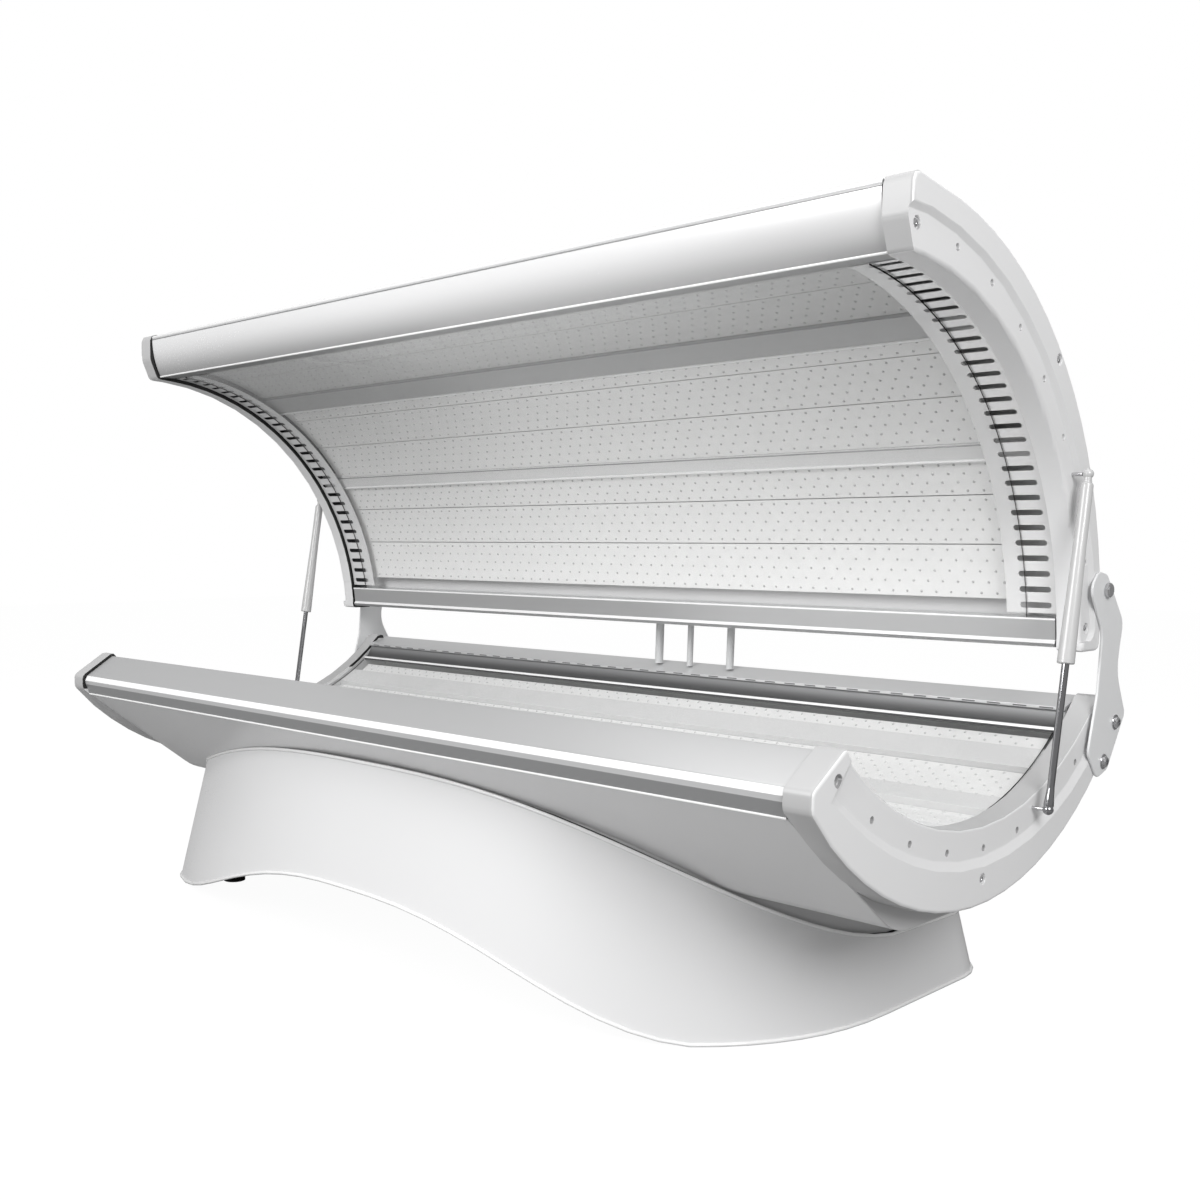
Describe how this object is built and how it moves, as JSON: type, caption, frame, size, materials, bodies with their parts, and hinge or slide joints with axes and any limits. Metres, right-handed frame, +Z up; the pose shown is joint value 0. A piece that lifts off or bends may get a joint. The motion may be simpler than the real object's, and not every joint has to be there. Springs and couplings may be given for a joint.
{
  "type": "led light therapy bed",
  "caption": "Light therapy bed with a lamp trough on a waved plinth and a hinged lamp canopy held up by gas struts.",
  "frame": {"origin": "on the floor, under the middle of the bed's box", "axes": "+X along the bed, +Y from the open front to the hinge side, +Z up"},
  "size_m": [2.1862, 1.0029, 1.3318],
  "materials": {
    "white_moulding": "satin gloss",
    "satin_skin": "satin",
    "bright_extrusion": "bright anodised",
    "polished_strip": "polished",
    "lamp_board": "satin white",
    "white_sheet": "satin white",
    "clear_acrylic": "clear",
    "satin_steel": "satin",
    "chrome": "polished",
    "dark_steel": "satin black",
    "black_plastic": "matt black",
    "grey_hose": "matt grey"
  },
  "bodies": {
    "base": {"base_acrylic": "clear_acrylic", "base_divider_1": "white_sheet", "base_divider_2": "white_sheet", "base_divider_3": "white_sheet", "base_divider_4": "white_sheet", "base_end_plate_left": "satin_skin", "base_end_plate_right": "satin_skin", "base_frame": "dark_steel", "base_front_rail": "bright_extrusion", "base_led_board_1": "lamp_board", "base_led_board_2": "lamp_board", "base_led_board_3": "lamp_board", "base_led_board_4": "lamp_board", "base_led_board_5": "lamp_board", "base_rear_rail": "bright_extrusion", "conduit_1": "grey_hose", "conduit_2": "grey_hose", "conduit_3": "grey_hose", "fan_housing_left": "black_plastic", "fan_housing_right": "black_plastic", "foot_front_left": "black_plastic", "foot_front_right": "black_plastic", "foot_rear_left": "black_plastic", "foot_rear_right": "black_plastic", "link_plate_left": "white_sheet", "link_plate_right": "white_sheet", "lower_ball_stud_left": "satin_steel", "lower_ball_stud_right": "satin_steel", "lower_cap_left": "white_moulding", "lower_cap_right": "white_moulding", "lower_shell": "satin_skin", "pivot_bolt_left": "satin_steel", "pivot_bolt_right": "satin_steel", "plinth_skirt": "satin_skin", "power_supply_left": "dark_steel", "power_supply_right": "dark_steel"},
    "canopy": {"canopy_acrylic": "clear_acrylic", "canopy_cap_left": "white_moulding", "canopy_cap_right": "white_moulding", "canopy_divider_lower": "white_sheet", "canopy_divider_upper": "white_sheet", "canopy_end_plate_left": "dark_steel", "canopy_end_plate_right": "dark_steel", "canopy_led_panel_lower": "lamp_board", "canopy_led_panel_middle": "lamp_board", "canopy_led_panel_upper": "lamp_board", "canopy_nose": "bright_extrusion", "canopy_rear_rail": "bright_extrusion", "canopy_shell": "satin_skin", "slotted_strip_left": "polished_strip", "slotted_strip_right": "polished_strip", "upper_ball_stud_left": "satin_steel", "upper_ball_stud_right": "satin_steel"},
    "strut_rod_left": {"strut_rod_left": "chrome"},
    "strut_tube_left": {"strut_tube_left": "white_moulding"},
    "fan_rotor_left": {"fan_rotor_left": "black_plastic"},
    "strut_rod_right": {"strut_rod_right": "chrome"},
    "strut_tube_right": {"strut_tube_right": "white_moulding"},
    "fan_rotor_right": {"fan_rotor_right": "black_plastic"}
  },
  "joints": [
    {"name": "canopy_hinge", "type": "hinge", "parent": "base", "child": "canopy", "pos_m": [0, 0.39798, 0.74025], "axis": [1, 0, 0], "range_deg": [0, 49], "deforming": ["conduit_1", "conduit_2", "conduit_3"]},
    {"name": "strut_pivot_left", "type": "hinge", "parent": "base", "child": "strut_rod_left", "pos_m": [-1.0791, 0.16527, 0.38354], "axis": [1, 0, 0], "range_deg": [-0.5, 11.19]},
    {"name": "strut_stroke_left", "type": "slide", "parent": "strut_rod_left", "child": "strut_tube_left", "axis": [0, 0.1717, 0.9851], "range_m": [-0.1809, 0.002]},
    {"name": "strut_pivot_right", "type": "hinge", "parent": "base", "child": "strut_rod_right", "pos_m": [1.0791, 0.16527, 0.38354], "axis": [1, 0, 0], "range_deg": [-0.5, 11.19]},
    {"name": "strut_stroke_right", "type": "slide", "parent": "strut_rod_right", "child": "strut_tube_right", "axis": [0, 0.1717, 0.9851], "range_m": [-0.1809, 0.002]},
    {"name": "fan_spin_left", "type": "hinge", "parent": "base", "child": "fan_rotor_left", "pos_m": [-0.52, -0.03395, 0.25645], "axis": [0, 0, 1], "continuous": true},
    {"name": "fan_spin_right", "type": "hinge", "parent": "base", "child": "fan_rotor_right", "pos_m": [0.52, -0.03395, 0.25645], "axis": [0, 0, 1], "continuous": true}
  ],
  "couplings": [
    {"joint": "strut_pivot_left", "follows": "canopy_hinge", "ratio": 0.21812},
    {"joint": "strut_stroke_left", "follows": "canopy_hinge", "m_per_rad": -0.20915},
    {"joint": "strut_pivot_right", "follows": "canopy_hinge", "ratio": 0.21812},
    {"joint": "strut_stroke_right", "follows": "canopy_hinge", "m_per_rad": -0.20915}
  ]
}
